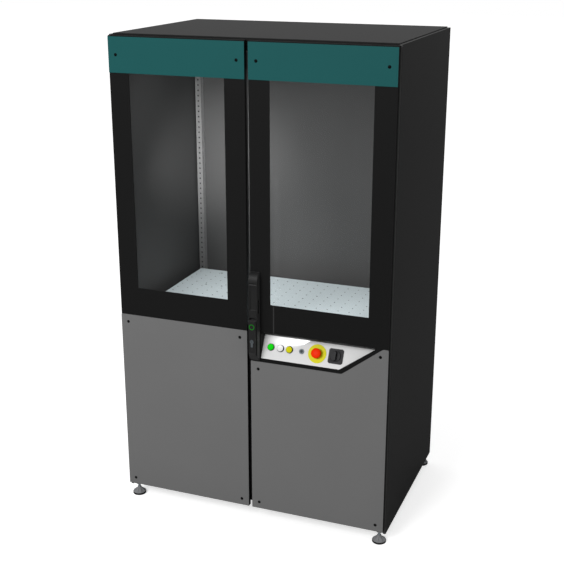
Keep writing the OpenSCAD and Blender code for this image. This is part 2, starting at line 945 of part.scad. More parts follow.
module cross_rail(y, open_at, z0, z1) {
    difference() {
        block([-post_x0, y, z0], [post_x0, y + post_d, z1]);
        translate([0, open_at, 0])
            block([-post_x0 + rail_wall, y + rail_wall, z0 + rail_wall],
                  [post_x0 - rail_wall, y + post_d - rail_wall, z1 - rail_wall]);
    }
}

module frame_rails(z0, z1, side_z0) {
    cross_rail(frame_y, rail_wall + over, z0, z1);
    cross_rail(post_y1 - post_d, -rail_wall - over, z0, z1);
    for (side = [-1, 1]) side_rail(side, side_z0, z1);
}

module top_frame() {
    color(black_paint) frame_rails(post_z1, roof_z, post_z1);
}

foot_x = side_x - foot_in;
foot_ys = [foot_front, cabinet_d - foot_rear];

// The side rails reach lower and carry a threaded tube over each foot
module base_frame() {
    color(black_paint) difference() {
        union() {
            frame_rails(base_rail_z, base_rail_top, rail_low);
            for (x = [-foot_x, foot_x]) for (y = foot_ys)
                translate([x, y, rail_low]) cylinder(r = foot_x - post_x0, h = base_rail_top - rail_low);
        }
        for (x = [-foot_x, foot_x]) for (y = foot_ys)
            translate([x, y, rail_low - over])
                cylinder(d = spindle_dia + 2 * fit, h = skirt_drop + base_rail_top);
    }
}

// Floor plate with the cable opening
cable_w = 400;
cable_d = 100;
cable_in = 81.7;
cable_y = post_y1 - post_d - cable_in - cable_d;
floor_t = 2;
module floor_plate() {
    color(zinc) difference() {
        block([-post_x0, frame_y + post_d, base_rail_top - floor_t],
              [post_x0, post_y1 - post_d, base_rail_top]);
        block([-cable_w / 2, cable_y, base_rail_top - floor_t - over],
              [cable_w / 2, cable_y + cable_d, base_rail_top + over]);
    }
}

// Work plate and what carries it
table_w = 2 * (half_w - table_in);
table_d = cabinet_d - table_y - table_rear;
angle_leg = 47;
angle_h = 40;
beam_w = 40;
beam_h = 48;
beam_z = table_z - table_t - beam_h;
beam_t = 2;
beam_in = 50;
beam_mid = (table_d - beam_w) / 2;
beam_ys = [table_y + beam_in, table_y + beam_mid, table_y + table_d - beam_in - beam_w];

module table_supports() {
    color(zinc) {
        for (s = [-1, 1]) mirrored(s) {
            block([post_x0 - frame_t, frame_y + frame_t, beam_z - angle_h],
                  [post_x0, post_y1 - frame_t, beam_z]);
            block([post_x0 - angle_leg, frame_y + frame_t, beam_z - frame_t],
                  [post_x0, post_y1 - frame_t, beam_z]);
        }
        for (y = beam_ys) difference() {
            block([-table_w / 2, y, beam_z], [table_w / 2, y + beam_w, table_z - table_t]);
            block([-table_w, y + beam_t, beam_z + beam_t],
                  [table_w, y + beam_w - beam_t, table_z - table_t - beam_t]);
        }
    }
}

base_bolt_x = 80;
base_bolt_y = 180;
base_bolt_d = 9;
base_in = 168;
base_rear = 127;
base_at = [base_in - table_w / 2, table_y + table_d - base_rear];

module table_plate() {
    margin = 20;
    nx = floor((table_w - 2 * margin) / table_pitch);
    ny = floor((table_d - 2 * margin) / table_pitch) - 1;
    color([0.72, 0.75, 0.76]) translate([0, 0, table_z - table_t]) linear_extrude(table_t) difference() {
        translate([-table_w / 2, table_y]) square([table_w, table_d]);
        for (i = [0:nx]) for (j = [0:ny])
            translate([(i - nx / 2) * table_pitch, table_y + table_d / 2 + (j - ny / 2) * table_pitch])
                circle(d = table_hole);
        for (dx = [-1, 1]) for (dy = [-1, 1])
            translate([base_at[0] + dx * base_bolt_x / 2, base_at[1] + dy * base_bolt_y / 2])
                circle(d = base_bolt_d);
    }
}

// Electronics compartment

mount_low = 40;
mount_top = 55;
mount_z0 = base_rail_top + mount_low;
mount_z1 = beam_z - mount_top;
mount_t = 3;
mount_y = post_y1 - post_d - mount_t;

module mounting_plate() {
    color(zinc)
        block([-post_x1 + gap, mount_y, mount_z0], [post_x1 - gap, mount_y + mount_t, mount_z1]);
}

rail_in = 115;
rail_end = 55;
rail_top = 80;
rail_z = [mount_z0 + rail_end, mount_z1 - rail_top];
rail_x1 = post_x1 - rail_in;
rail_x0 = -rail_x1;
rail_h = 35;
rail_depth = 7.5;
rail_t = 1;
rail_web = 25;

module din_rails() {
    color(zinc) for (z = rail_z) translate([0, mount_y, z]) {
        block([rail_x0, -rail_t, (rail_h - rail_web) / 2], [rail_x1, 0, (rail_h + rail_web) / 2]);
        for (side = [0, 1]) {
            inner = side == 0 ? (rail_h - rail_web) / 2 : (rail_h + rail_web) / 2 - rail_t;
            edge = side == 0 ? 0 : (rail_h + rail_web) / 2 - rail_t;
            block([rail_x0, -rail_depth, inner], [rail_x1, 0, inner + rail_t]);
            block([rail_x0, -rail_depth, edge],
                  [rail_x1, -rail_depth + rail_t, edge + (rail_h - rail_web) / 2 + rail_t]);
        }
    }
}

duct_h = 40;
duct_d = 60;
duct_t = 2;
duct_off = 65;
duct_drop = 75;
duct_zs = [rail_z[0] + duct_off, rail_z[1] - duct_drop];
duct_pitch = 12.5;
duct_slot = 5;

module wiring_ducts() {
    length = rail_x1 - rail_x0;
    count = floor(length / duct_pitch) - 1;
    color([0.6, 0.62, 0.63]) for (z = duct_zs) difference() {
        block([rail_x0, mount_y - duct_d, z], [rail_x1, mount_y, z + duct_h]);
        block([rail_x0 - over, mount_y - duct_d + duct_t, z + duct_t],
              [rail_x1 + over, mount_y - duct_t, z + duct_h - duct_t]);
        for (i = [1:2:count])
            block([rail_x0 + i * duct_pitch, mount_y - duct_d + duct_t, z - over],
                  [rail_x0 + i * duct_pitch + duct_slot, mount_y - duct_d / 2, z + duct_h + over]);
    }
}

drive_w = 62;
drive_d = 210;
drive_count = 6;
drive_pitch = 70;
drive_x = -460;
drive_gap = 20;
drive_z = duct_zs[0] + duct_h + drive_gap;
drive_h = duct_zs[1] - drive_gap - drive_z;
fin_t = 3;

module drive_modules() {
    color(dark_plastic) for (i = [0:drive_count - 1])
        translate([drive_x + i * drive_pitch, mount_y, drive_z]) difference() {
            block([0, -drive_d, 0], [drive_w, 0, drive_h]);
            for (j = [1:6])
                block([j * drive_w / 7 - fin_t / 2, -drive_d - over, drive_h - drive_w / 2],
                      [j * drive_w / 7 + fin_t / 2, -drive_d + fin_t * 2, drive_h - fin_t * 2]);
            block([drive_w / 4, -drive_d - over, fin_t * 4],
                  [drive_w * 3 / 4, -drive_d + fin_t * 2, drive_w]);
        }
}

supply_w = 150;
supply_x = 20;
supply_d = 180;

module power_supply() {
    color([0.66, 0.67, 0.68]) translate([supply_x, mount_y, drive_z]) difference() {
        block([0, -supply_d, 0], [supply_w, 0, drive_h]);
        for (j = [1:8])
            block([j * supply_w / 9 - fin_t, -supply_d - over, drive_h * 3 / 4],
                  [j * supply_w / 9, -supply_d + fin_t * 2, drive_h - fin_t * 3]);
        block([supply_w / 8, -supply_d - over, fin_t * 4],
              [supply_w * 7 / 8, -supply_d + fin_t * 4, drive_w / 2]);
    }
}

unit_w = 240;
unit_x = 205;
unit_d = 240;

module controller_unit() {
    color([0.24, 0.26, 0.28]) translate([unit_x, mount_y, drive_z]) difference() {
        block([0, -unit_d, 0], [unit_w, 0, drive_h]);
        for (j = [1:9])
            block([unit_w / 10, -unit_d - over, drive_h / 2 + j * fin_t * 4],
                  [unit_w * 6 / 10, -unit_d + fin_t, drive_h / 2 + j * fin_t * 4 + fin_t * 2]);
        block([unit_w * 7 / 10, -unit_d - over, drive_h / 4],
              [unit_w * 9 / 10, -unit_d + fin_t * 2, drive_h * 3 / 4]);
    }
}

// Contactors and breakers that clip on the two rails
gear_w = 45;
gear_d = 90;
gear_h = 75;
gear_pitch = 60;
breaker_w = 18;
terminal_w = 9;
contactors = 5;
breakers = 9;
terminals = 24;

module gear_box(w, h) {
    step = 12;
    difference() {
        block([0, -gear_d, 0], [w, -gap, h]);
        block([-over, -gear_d - over, -over], [w + over, -gear_d + step, h / 4]);
        block([-over, -gear_d - over, h * 3 / 4], [w + over, -gear_d + step, h + over]);
        block([-over, -rail_depth - gap, (h - rail_h) / 2 - gap], [w + over, 0, (h + rail_h) / 2 + gap]);
    }
}

module switchgear() {
    low = rail_z[0] - (gear_h - rail_h) / 2;
    high = rail_z[1] - (gear_h - rail_h) / 2;
    color([0.3, 0.31, 0.32]) {
        for (i = [0:contactors - 1]) translate([rail_x0 + gear_w + i * gear_pitch, mount_y, high])
            gear_box(gear_w, gear_h);
        for (i = [0:breakers - 1]) translate([gear_w + i * (breaker_w + gap), mount_y, high])
            gear_box(breaker_w, gear_h);
        for (i = [0:terminals - 1]) translate([rail_x0 + gear_w + i * (terminal_w + gap), mount_y, low])
            gear_box(terminal_w, gear_h);
    }
}

// Hinges: goose-neck arms bolted to the front uprights, turning on pressed pins

module hinge_arm() {
    foot_w = 17;
    foot_half = 20;
    foot_t = 2.5;
    eye_wall = 2;
    axis = half_w - hinge_in;
    low = axis - arm_run;
    difference() {
        union() {
            translate([axis, hinge_y, -arm_half]) cylinder(r = pin_dia / 2 + eye_wall, h = 2 * arm_half);
            block([low, hinge_y - arm_t / 2, -arm_half], [axis, hinge_y + arm_t / 2, arm_half]);
            block([low, hinge_y - arm_t / 2, -arm_half], [low + arm_t, frame_y, arm_half]);
            block([low, frame_y - foot_t, -foot_half], [low + foot_w, frame_y, foot_half]);
        }
        translate([axis, hinge_y, -arm_half - over])
            cylinder(r = pin_dia / 2 + fit, h = 2 * arm_half + 2 * over);
    }
}

module hinge_arms() {
    color(zinc) for (s = [-1, 1]) mirrored(s) for (z = hinge_zs) translate([0, 0, z]) hinge_arm();
}

module hinge_pins() {
    head = 1.5;
    half = arm_half + gap + lug_t;
    axis = half_w - hinge_in;
    color(zinc) for (s = [-1, 1]) mirrored(s) for (z = hinge_zs) translate([axis, hinge_y, z]) {
        translate([0, 0, -half]) cylinder(d = pin_dia, h = 2 * half + gap);
        translate([0, 0, half + gap]) cylinder(r = pin_dia / 2 + head, h = head);
    }
}

// Feet

pad_t = 8;
pad_wall = 1;
plate_top = 24;
hub_r = 9;
hub_top = 32;
foot_ribs = 8;
nut_r = 11;
nut_t = 8;

module at_feet() {
    for (x = [-foot_x, foot_x]) for (y = foot_ys) translate([x, y, -floor_gap]) children();
}

module foot_spindles() {
    color(zinc) at_feet() {
        translate([0, 0, plate_top])
            cylinder(d = spindle_dia, h = floor_gap + base_rail_top - plate_top - sheet / 2);
        translate([0, 0, floor_gap + rail_low - nut_t]) cylinder(r = nut_r, h = nut_t, $fn = 6);
    }
}

module foot_plates() {
    r = foot_dia / 2;
    brim = 3;
    rib_t = 3;
    color([0.52, 0.53, 0.54]) at_feet() difference() {
        union() {
            rotate_extrude()
                polygon([[0, pad_t], [r - pad_wall, pad_t], [r - pad_wall, pad_t + brim],
                         [r * 2 / 3, pad_t + brim * 2], [hub_r, plate_top], [hub_r, hub_top], [0, hub_top]]);
            for (i = [0:foot_ribs - 1]) rotate([0, 0, i * 360 / foot_ribs])
                translate([0, rib_t / 2, 0]) rotate([90, 0, 0]) linear_extrude(rib_t)
                    polygon([[0, pad_t], [r - brim, pad_t + brim], [r - brim, pad_t + brim * 2],
                             [hub_r, plate_top + brim], [0, plate_top + brim]]);
        }
        translate([0, 0, plate_top]) cylinder(d = spindle_dia + 2 * fit, h = floor_gap);
    }
}

module foot_pads() {
    r = foot_dia / 2;
    lip = 1.5;
    color(black_paint) at_feet() rotate_extrude()
        polygon([[0, 0], [r - lip, 0], [r, lip], [r, pad_t + lip], [r - pad_wall + fit, pad_t + lip],
                 [r - pad_wall + fit, pad_t - fit], [0, pad_t - fit]]);
}

placed() base_frame();
placed() top_frame();
placed() upright(true, -1);  // front_left_upright
placed() upright(true, 1);  // front_right_upright
placed() upright(false, -1);  // rear_left_upright
placed() upright(false, 1);  // rear_right_upright
placed() roof_plate();
placed() side_panel(-1);  // left_side_panel
placed() side_panel(1);  // right_side_panel
placed() rear_panel();
placed() floor_plate();
placed() table_supports();
placed() table_plate();
placed() mounting_plate();
placed() din_rails();
placed() wiring_ducts();
placed() drive_modules();
placed() power_supply();
placed() controller_unit();
placed() switchgear();
placed() hinge_arms();
placed() hinge_pins();
placed() foot_spindles();
placed() foot_plates();
placed() foot_pads();
placed() color(black_paint) mirrored(-1) door_shell(false);  // left_door_shell
placed() mirrored(-1) window_pane();  // left_window_pane
placed() mirrored(-1) door_seals();  // left_door_seals
placed() mirrored(-1) header_bar();  // left_header_bar
placed() left_lower_panel();
placed() mirrored(-1) panel_screws(false);  // left_panel_screws
placed() meeting_strip();  // left_meeting_strip
placed() color(black_paint) door_shell(true);  // right_door_shell
placed() window_pane();  // right_window_pane
placed() door_seals();  // right_door_seals
placed() header_bar();  // right_header_bar
placed() right_lower_panel();
placed() panel_screws(true);  // right_panel_screws
placed() console_housing();
placed() console_face();
placed() control_bezels();
placed() estop_collar();
placed() main_switch_plate();
placed() handle_housing();
placed() lock_block();
placed() lock_case();
placed() release_ring();
placed() lock_cylinder();
placed() push_button(0, [0, 0.85, 0]);  // green_button
placed() push_button(1, [0.9, 0.9, 0.9]);  // white_button
placed() push_button(2, [0.83, 0.82, 0]);  // yellow_button
placed() key_rotor();
placed() estop_stem();
placed() estop_head();
placed() main_switch_knob();
placed() handle_lever();
placed() release_button();
placed() lock_plug();
placed() upper_lock_rod();
placed() lower_lock_rod();
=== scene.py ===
import json
from math import cos, pi, radians, sin

import bmesh
import bpy
from mathutils import Matrix, Vector


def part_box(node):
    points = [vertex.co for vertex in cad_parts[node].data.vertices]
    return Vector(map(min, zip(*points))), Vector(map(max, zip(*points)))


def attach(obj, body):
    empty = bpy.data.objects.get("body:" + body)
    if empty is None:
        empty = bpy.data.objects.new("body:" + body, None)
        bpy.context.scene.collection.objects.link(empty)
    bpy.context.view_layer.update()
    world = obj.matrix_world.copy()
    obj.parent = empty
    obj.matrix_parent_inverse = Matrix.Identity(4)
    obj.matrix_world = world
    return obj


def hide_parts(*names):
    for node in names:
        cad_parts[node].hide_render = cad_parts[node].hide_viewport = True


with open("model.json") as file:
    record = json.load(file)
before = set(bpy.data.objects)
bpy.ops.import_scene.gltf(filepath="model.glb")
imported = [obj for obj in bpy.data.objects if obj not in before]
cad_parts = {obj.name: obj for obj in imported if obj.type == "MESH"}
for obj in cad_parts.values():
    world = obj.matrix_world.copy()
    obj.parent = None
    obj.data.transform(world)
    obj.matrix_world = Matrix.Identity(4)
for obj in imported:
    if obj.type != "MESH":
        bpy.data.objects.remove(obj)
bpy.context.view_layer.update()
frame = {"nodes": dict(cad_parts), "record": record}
scene = bpy.context.scene
mm = 0.001

# Camera
# A tripod camera with a 30 degree lens, standing to the right of the cabinet's front,
# a little above its roof and looking down at it.
lens_angle, nearest, farthest = radians(30.04), 0.1, 60.0
tripod_top, line_of_sight = (1.5974, -4.1396, 2.4573), Vector((-0.3422, 0.8855, -0.3144))
lens = bpy.data.cameras.new("camera")
lens.sensor_fit = "AUTO"
lens.angle = lens_angle
lens.clip_start, lens.clip_end = nearest, farthest
camera = bpy.data.objects.new("camera", lens)
camera.location = tripod_top
camera.rotation_mode = "QUATERNION"
camera.rotation_quaternion = line_of_sight.to_track_quat("-Z", "Y")
scene.collection.objects.link(camera)
scene.camera = camera
scene.view_settings.view_transform = "Standard"


# Light, floor and background
# A white studio: an even sky, a broad soft lamp at the front, four small lamps inside the
# cabinet, and a pale floor that keeps a soft shadow under the feet.
class Wire:
    """One socket of a node tree. Sums and products on it add the tree's Math nodes."""

    def __init__(self, nodes, socket):
        self.nodes, self.socket = nodes, socket

    def maths(self, operation, *values):
        return self.nodes.add("ShaderNodeMath", {"operation": operation}, dict(enumerate(values)))

    def __add__(self, other):
        return self.maths("ADD", self, other)

    def __mul__(self, other):
        return self.maths("MULTIPLY", self, other)

    def __lt__(self, other):
        return self.maths("LESS_THAN", self, other)

    __radd__, __rmul__ = __add__, __mul__


class Nodes:
    """A node tree under construction."""

    def __init__(self, tree):
        self.tree = tree

    def add(self, kind, settings=(), values=(), out=0):
        made = self.tree.nodes.new(kind)
        for key, value in dict(settings).items():
            setattr(made, key, value)
        for key, value in dict(values).items():
            self.plug(value, made.inputs[key])
        return Wire(self, made.outputs[out])

    def plug(self, value, socket):
        if isinstance(value, Wire):
            self.tree.links.new(value.socket, socket)
        else:
            socket.default_value = value


def linear(tint):
    """A colour written as six hex digits, in linear light."""
    shares = [int(tint[i:i + 2], 16) / 255 for i in (0, 2, 4)]
    return tuple(s / 12.92 if s <= 0.04045 else ((s + 0.055) / 1.055) ** 2.4 for s in shares)


def grey(share):
    """A neutral colour in linear light."""
    return (share, share, share, 1)


def lamp(name, kind, place, target, power, seen=True, **settings):
    light = bpy.data.lights.new(name, kind)
    light.energy = power
    for key, value in settings.items():
        setattr(light, key, value)
    thing = bpy.data.objects.new(name, light)
    thing.location = place
    thing.rotation_mode = "QUATERNION"
    thing.rotation_quaternion = (Vector(target) - Vector(place)).to_track_quat("-Z", "Y")
    thing.visible_camera = seen
    scene.collection.objects.link(thing)


sky_strength = 0.55
world = bpy.data.worlds.new("studio")
world.use_nodes = True
scene.world = world
sky = Nodes(world.node_tree)
sky_shader = world.node_tree.nodes["Background"]
sky_shader.inputs["Color"].default_value = grey(1)
seen_by_camera = sky.add("ShaderNodeLightPath")
sky.plug(seen_by_camera * (1 - sky_strength) + sky_strength, sky_shader.inputs["Strength"])
lamp("front_lamp", "AREA", (-1.2, -5.0, 3.6), (0, 0, 1.1), 205, size=2.4)
lamp("inner_lamp", "AREA", (0, -0.16, 2.0), (0, 0, 0.9), 3.1, seen=False, shape="RECTANGLE",
     size=0.8, size_y=0.3)
lamp("table_lamp", "SPOT", (-0.1, -0.06, 2.02), (-0.1, -0.06, 0.9), 23, seen=False, spot_size=radians(70),
     spot_blend=0.6, shadow_soft_size=0.05)
lamp("corner_lamp", "SPOT", (-0.30, -0.32, 1.45), (-0.50, 0.42, 1.45), 28, seen=False, spot_size=radians(62),
     spot_blend=1.0, shadow_soft_size=0.15)
lamp("wall_lamp", "AREA", (0.25, -0.34, 1.2), (0, 0.42, 1.2), 1.7, seen=False, shape="RECTANGLE",
     size=0.3, size_y=0.7)

floor_white, floor_bounce, floor_glow, floor_half = 0.93, 0.5, 0.58, 30.0
floor_paint = bpy.data.materials.new("floor_white")
floor_paint.use_nodes = True
floor_nodes = Nodes(floor_paint.node_tree)
floor_shader = floor_paint.node_tree.nodes["Principled BSDF"]
floor_shader.inputs["Roughness"].default_value = 0.9
floor_shader.inputs["Specular IOR Level"].default_value = 0.1
floor_shader.inputs["Emission Color"].default_value = grey(1)
in_view = floor_nodes.add("ShaderNodeLightPath")
floor_tone = floor_nodes.add("ShaderNodeMix", {"data_type": "RGBA"},
                             {0: in_view, 6: grey(floor_bounce), 7: grey(floor_white)}, out=2)
floor_nodes.plug(floor_tone, floor_shader.inputs["Base Color"])
floor_nodes.plug(in_view * floor_glow, floor_shader.inputs["Emission Strength"])
floor_mesh = bpy.data.meshes.new("floor")
floor_mesh.from_pydata([(-floor_half, -floor_half, 0), (floor_half, -floor_half, 0),
                        (floor_half, floor_half, 0), (-floor_half, floor_half, 0)], [], [(0, 1, 2, 3)])
floor_mesh.materials.append(floor_paint)
floor_sheet = bpy.data.objects.new("floor", floor_mesh)
scene.collection.objects.link(floor_sheet)


# Base frame and top frame
# Folded channels of 2 mm steel, welded at the corners and powder coated black; the base frame
# carries the feet and the floor plate.
class Finish(Nodes):
    """A procedural material that ends in a Principled shader."""

    def __init__(self, name, colour, roughness, metallic=0.0, specular=0.5):
        self.material = bpy.data.materials.new(name)
        self.material.use_nodes = True
        super().__init__(self.material.node_tree)
        self.shader = self.tree.nodes["Principled BSDF"]
        self.colour, self.roughness = linear(colour), roughness
        self.where = self.add("ShaderNodeTexCoord", out="Object")
        self.set("Base Color", (*self.colour, 1))
        self.set("Roughness", roughness)
        self.set("Metallic", metallic)
        self.set("Specular IOR Level", specular)

    def set(self, name, value):
        self.plug(value, self.shader.inputs[name])

    def noise(self, size, detail=2.0, stretch=(1, 1, 1)):
        """Soft noise whose cells are about size metres across."""
        place = self.where
        if stretch != (1, 1, 1):
            place = self.add("ShaderNodeMapping", {}, {"Vector": self.where, "Scale": stretch})
        return self.add("ShaderNodeTexNoise", {}, {"Vector": place, "Scale": 1 / size, "Detail": detail})

    def mix(self, by, low, high):
        return self.add("ShaderNodeMix", {"data_type": "RGBA"}, {0: by, 6: low, 7: high}, out=2)

    def tone(self, by, colour, amount):
        """The colour goes down and up by that share of itself with a noise."""
        low, high = ((*(c * share for c in colour), 1) for share in (1 - amount, 1 + amount))
        return self.mix(by, low, high)

    def vary(self, by, amount):
        self.set("Base Color", self.tone(by, self.colour, amount))

    def gloss(self, by, amount):
        self.set("Roughness", by * amount + (self.roughness - amount / 2))

    def bump(self, by, depth):
        self.set("Normal", self.add("ShaderNodeBump", {}, {"Distance": depth, "Height": by}))

    def coat(self, peel):
        """The fine orange peel and slightly uneven gloss of baked powder."""
        wave_share = 0.6
        grain, wave = self.noise(size=1.4 * mm, detail=3.0), self.noise(size=6 * mm)
        self.gloss(grain, amount=0.10)
        self.bump(grain + wave * wave_share, depth=peel * mm)
        return self.material


def powder_coat(name, colour, roughness=0.45, specular=0.04):
    paint = Finish(name, colour, roughness, specular=specular)
    paint.vary(paint.noise(size=0.35), amount=0.04)
    return paint.coat(peel=0.02)


slot_of = {s["node"]: s["material_slot"] for s in frame["record"]["subparts"]}
body_of = {n: b for b, members in frame["record"]["behaviour"]["bodies"].items() for n in members}


def place_piece(name, mesh, body, slot, *nodes):
    """Puts a finished mesh on its body, in the place of the CAD nodes that it stands for."""
    piece = bpy.data.objects.new(name, mesh)
    scene.collection.objects.link(piece)
    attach(piece, body)
    if nodes:
        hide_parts(*nodes)
    return piece


def soften(mesh, angle=35):
    """Smooth shading that stops at edges sharper than the angle."""
    for face in mesh.polygons:
        face.use_smooth = True
    mesh.set_sharp_from_angle(angle=radians(angle))


def eased(node, paint, width, segments=2, angle=35):
    """A folded, cut or moulded piece: the CAD solid with its edges rounded by so many millimetres."""
    weld, flat_within = 0.002 * mm, radians(0.5)
    shape = bmesh.new()
    shape.from_mesh(frame["nodes"][node].data)
    bmesh.ops.remove_doubles(shape, verts=shape.verts, dist=weld)
    bmesh.ops.dissolve_limit(shape, angle_limit=flat_within, verts=shape.verts, edges=shape.edges)
    mesh = bpy.data.meshes.new(node + "_finished")
    shape.to_mesh(mesh)
    shape.free()
    mesh.materials.clear()
    mesh.materials.append(paint)
    soften(mesh, angle)
    piece = place_piece(node + "_finished", mesh, body_of[node], slot_of[node], node)
    bevel = piece.modifiers.new("edges", "BEVEL")
    bevel.width, bevel.segments = width * mm, segments
    bevel.limit_method, bevel.angle_limit = "ANGLE", radians(angle)
    bevel.use_clamp_overlap = True
    bevel.harden_normals = True
    return piece


frame_paint = powder_coat("frame_black", "1c1c1c")
for node in ("base_frame", "top_frame"):
    eased(node, frame_paint, width=1.0)

# Uprights
# Four cold-rolled steel profiles with a row of round holes every 25 mm on two faces, powder
# coated light grey and bolted between the base frame and the top frame.
upright_paint = powder_coat("upright_grey", "8c8c8c", roughness=0.4, specular=0.4)
for node in ("front_left_upright", "front_right_upright", "rear_left_upright", "rear_right_upright"):
    eased(node, upright_paint, width=0.3, segments=1)

# Roof plate
# A flat 4 mm steel plate laid on the top frame between the folds of the side panels. It is cut
# to size, powder coated black and a little glossier than the doors.
eased("roof_plate", powder_coat("roof_black", "1c1c1c", roughness=0.5, specular=0.10), width=1.0)


# Side panels and rear panel
# Folded 2 mm steel sheets hung on the frame from outside. They are powder coated twice, black
# on the outer face and grey on the inner one.
def two_sided_coat(name, outside, inside, axis, face):
    """Paint of two colours: the inner one where the coordinate lies inside the outer face."""
    skin = 0.8 * mm
    paint = Finish(name, outside, 0.5, specular=0.06)
    reach = paint.add("ShaderNodeSeparateXYZ", {}, {"Vector": paint.where}, out=axis)
    if face < 0:
        reach = reach * -1
    inner = reach < abs(face) - skin
    cloud = paint.noise(size=0.4)
    outer_tone = paint.tone(cloud, paint.colour, amount=0.06)
    inner_tone = paint.tone(cloud, linear(inside), amount=0.03)
    paint.set("Base Color", paint.mix(inner, outer_tone, inner_tone))
    return paint.coat(peel=0.02)


side_face, rear_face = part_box("right_side_panel")[1].x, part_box("rear_panel")[1].y
eased("right_side_panel", two_sided_coat("right_side_coat", "181818", "484848", "X", side_face), width=1.5)
eased("left_side_panel", two_sided_coat("left_side_coat", "181818", "484848", "X", -side_face), width=1.5)
eased("rear_panel", two_sided_coat("rear_coat", "181818", "585858", "Y", rear_face), width=1.0)


# Floor plate, supports of the work plate and mounting plate
# Zinc plated sheet, cut and folded, with the faint streaks that rolling and plating leave. A
# rubber edging lines the cable opening of the floor plate.
def plated(name, colour, roughness=0.38):
    stretch = (1, 30, 30)
    metal = Finish(name, colour, roughness, metallic=0.85)
    streak = metal.noise(size=0.02, detail=4.0, stretch=stretch)
    metal.vary(streak, amount=0.10)
    metal.gloss(streak, amount=0.2)
    metal.bump(streak, depth=0.02 * mm)
    return metal.material


zinc = plated("zinc_sheet", "b4b8ba")
for node in ("floor_plate", "table_supports", "mounting_plate"):
    eased(node, zinc, width=0.5, segments=1)


class Shape:
    """A mesh under construction, made of turned and boxed forms."""

    def __init__(self):
        self.mesh = bmesh.new()

    def turned(self, profile, place=Matrix(), steps=48):
        """A profile of radius and height turned about the axis; a radius may vary with the angle."""
        rings = []
        for radius, height in profile:
            ring = []
            for i in range(1 if radius == 0 else steps):
                angle = 2 * pi * i / steps
                r = radius(angle) if callable(radius) else radius
                ring.append(self.mesh.verts.new(place @ Vector((r * cos(angle), r * sin(angle), height))))
            rings.append(ring)
        for low, high in zip(rings, rings[1:]):
            for i in range(steps):
                j = (i + 1) % steps
                corners = [low[i % len(low)], low[j % len(low)], high[j % len(high)], high[i % len(high)]]
                corners = list(dict.fromkeys(corners))
                if len(corners) > 2:
                    self.mesh.faces.new(corners)
        return self

    def boxed(self, low, high, ease=0.0, segments=2):
        """A block between two corners, with its edges rounded."""
        low, high = Vector(low), Vector(high)
        made = bmesh.ops.create_cube(self.mesh, size=1.0, matrix=Matrix.Translation((low + high) / 2)
                                     @ Matrix.Diagonal((*(high - low), 1)))
        if ease:
            edges = list({e for v in made["verts"] for e in v.link_edges})
            bmesh.ops.bevel(self.mesh, geom=edges, offset=ease, segments=segments, affect="EDGES",
                            profile=0.5)
        return self

    def done(self, name, paint, place=Matrix(), angle=35):
        bmesh.ops.transform(self.mesh, matrix=place, verts=self.mesh.verts)
        bmesh.ops.remove_doubles(self.mesh, verts=self.mesh.verts, dist=0.001 * mm)
        bmesh.ops.recalc_face_normals(self.mesh, faces=self.mesh.faces)
        mesh = bpy.data.meshes.new(name)
        self.mesh.to_mesh(mesh)
        self.mesh.free()
        mesh.materials.append(paint)
        soften(mesh, angle)
        return mesh


rubber_look = Finish("black_rubber", "1a1a1a", 0.75, specular=0.2)
rubber_look.vary(rubber_look.noise(size=0.01), amount=0.15)
rubber_look.bump(rubber_look.noise(size=1 * mm), depth=0.04 * mm)
rubber = rubber_look.material
opening_x, opening_y0, opening_y1 = 200 * mm, 211.5 * mm, 311.5 * mm
trim, trim_z0, trim_z1 = 4 * mm, 121 * mm, 127 * mm
edging = Shape()
for low, high in (((-opening_x, opening_y0, trim_z0), (opening_x, opening_y0 + trim / 2, trim_z1)),
                  ((-opening_x, opening_y1 - trim / 2, trim_z0), (opening_x, opening_y1, trim_z1)),
                  ((-opening_x, opening_y0, trim_z0), (trim / 2 - opening_x, opening_y1, trim_z1)),
                  ((opening_x - trim / 2, opening_y0, trim_z0), (opening_x, opening_y1, trim_z1))):
    edging.boxed(low, high, ease=0.6 * mm)
place_piece("cable_edging", edging.done("cable_edging", rubber), "cabinet", "black_rubber")

# Work plate
# A milled and anodised light-alloy plate, 8 mm thick, with a 50 mm grid of holes for pegs and
# four larger holes for a base; its upright faces, in the bores and round the edges, are painted dark as
# shade.
plate_metal = Finish("table_aluminium", "bec9cc", 0.5, specular=0.3)
mill = plate_metal.noise(size=0.01, detail=3.0, stretch=(1, 40, 1))
plate_metal.gloss(mill, amount=0.1)
plate_metal.bump(mill, depth=0.01 * mm)
facing = plate_metal.add("ShaderNodeSeparateXYZ", {}, {
    "Vector": plate_metal.add("ShaderNodeTexCoord", out="Normal")}, out="Z")
# Painted shade: every face that stands upright, in the bores and round the plate's edges, gets a near black
# colour.
upright_share, bore_painted_shade = 0.4, grey(0.02)
bore = facing.maths("ABSOLUTE", facing) < upright_share
milled = plate_metal.tone(mill, plate_metal.colour, amount=0.03)
plate_metal.set("Base Color", plate_metal.mix(bore, milled, bore_painted_shade))
eased("table_plate", plate_metal.material, width=0.2, segments=1)


# Rails, ducts and mounted devices of the electronics compartment
# Steel hat rails, slotted grey ducts with clipped lids, dark drive housings, a sheet-metal power
# supply, the controller unit, and contactors, breakers and terminals clipped on the rails.
def moulded(name, colour, roughness=0.5, specular=0.2):
    """Injection moulded plastic: even colour with a fine spark-eroded grain."""
    plastic = Finish(name, colour, roughness, specular=specular)
    plastic.vary(plastic.noise(size=0.03), amount=0.05)
    grain = plastic.noise(size=0.5 * mm, detail=4.0)
    plastic.gloss(grain, amount=0.14)
    plastic.bump(grain, depth=0.02 * mm)
    return plastic.material


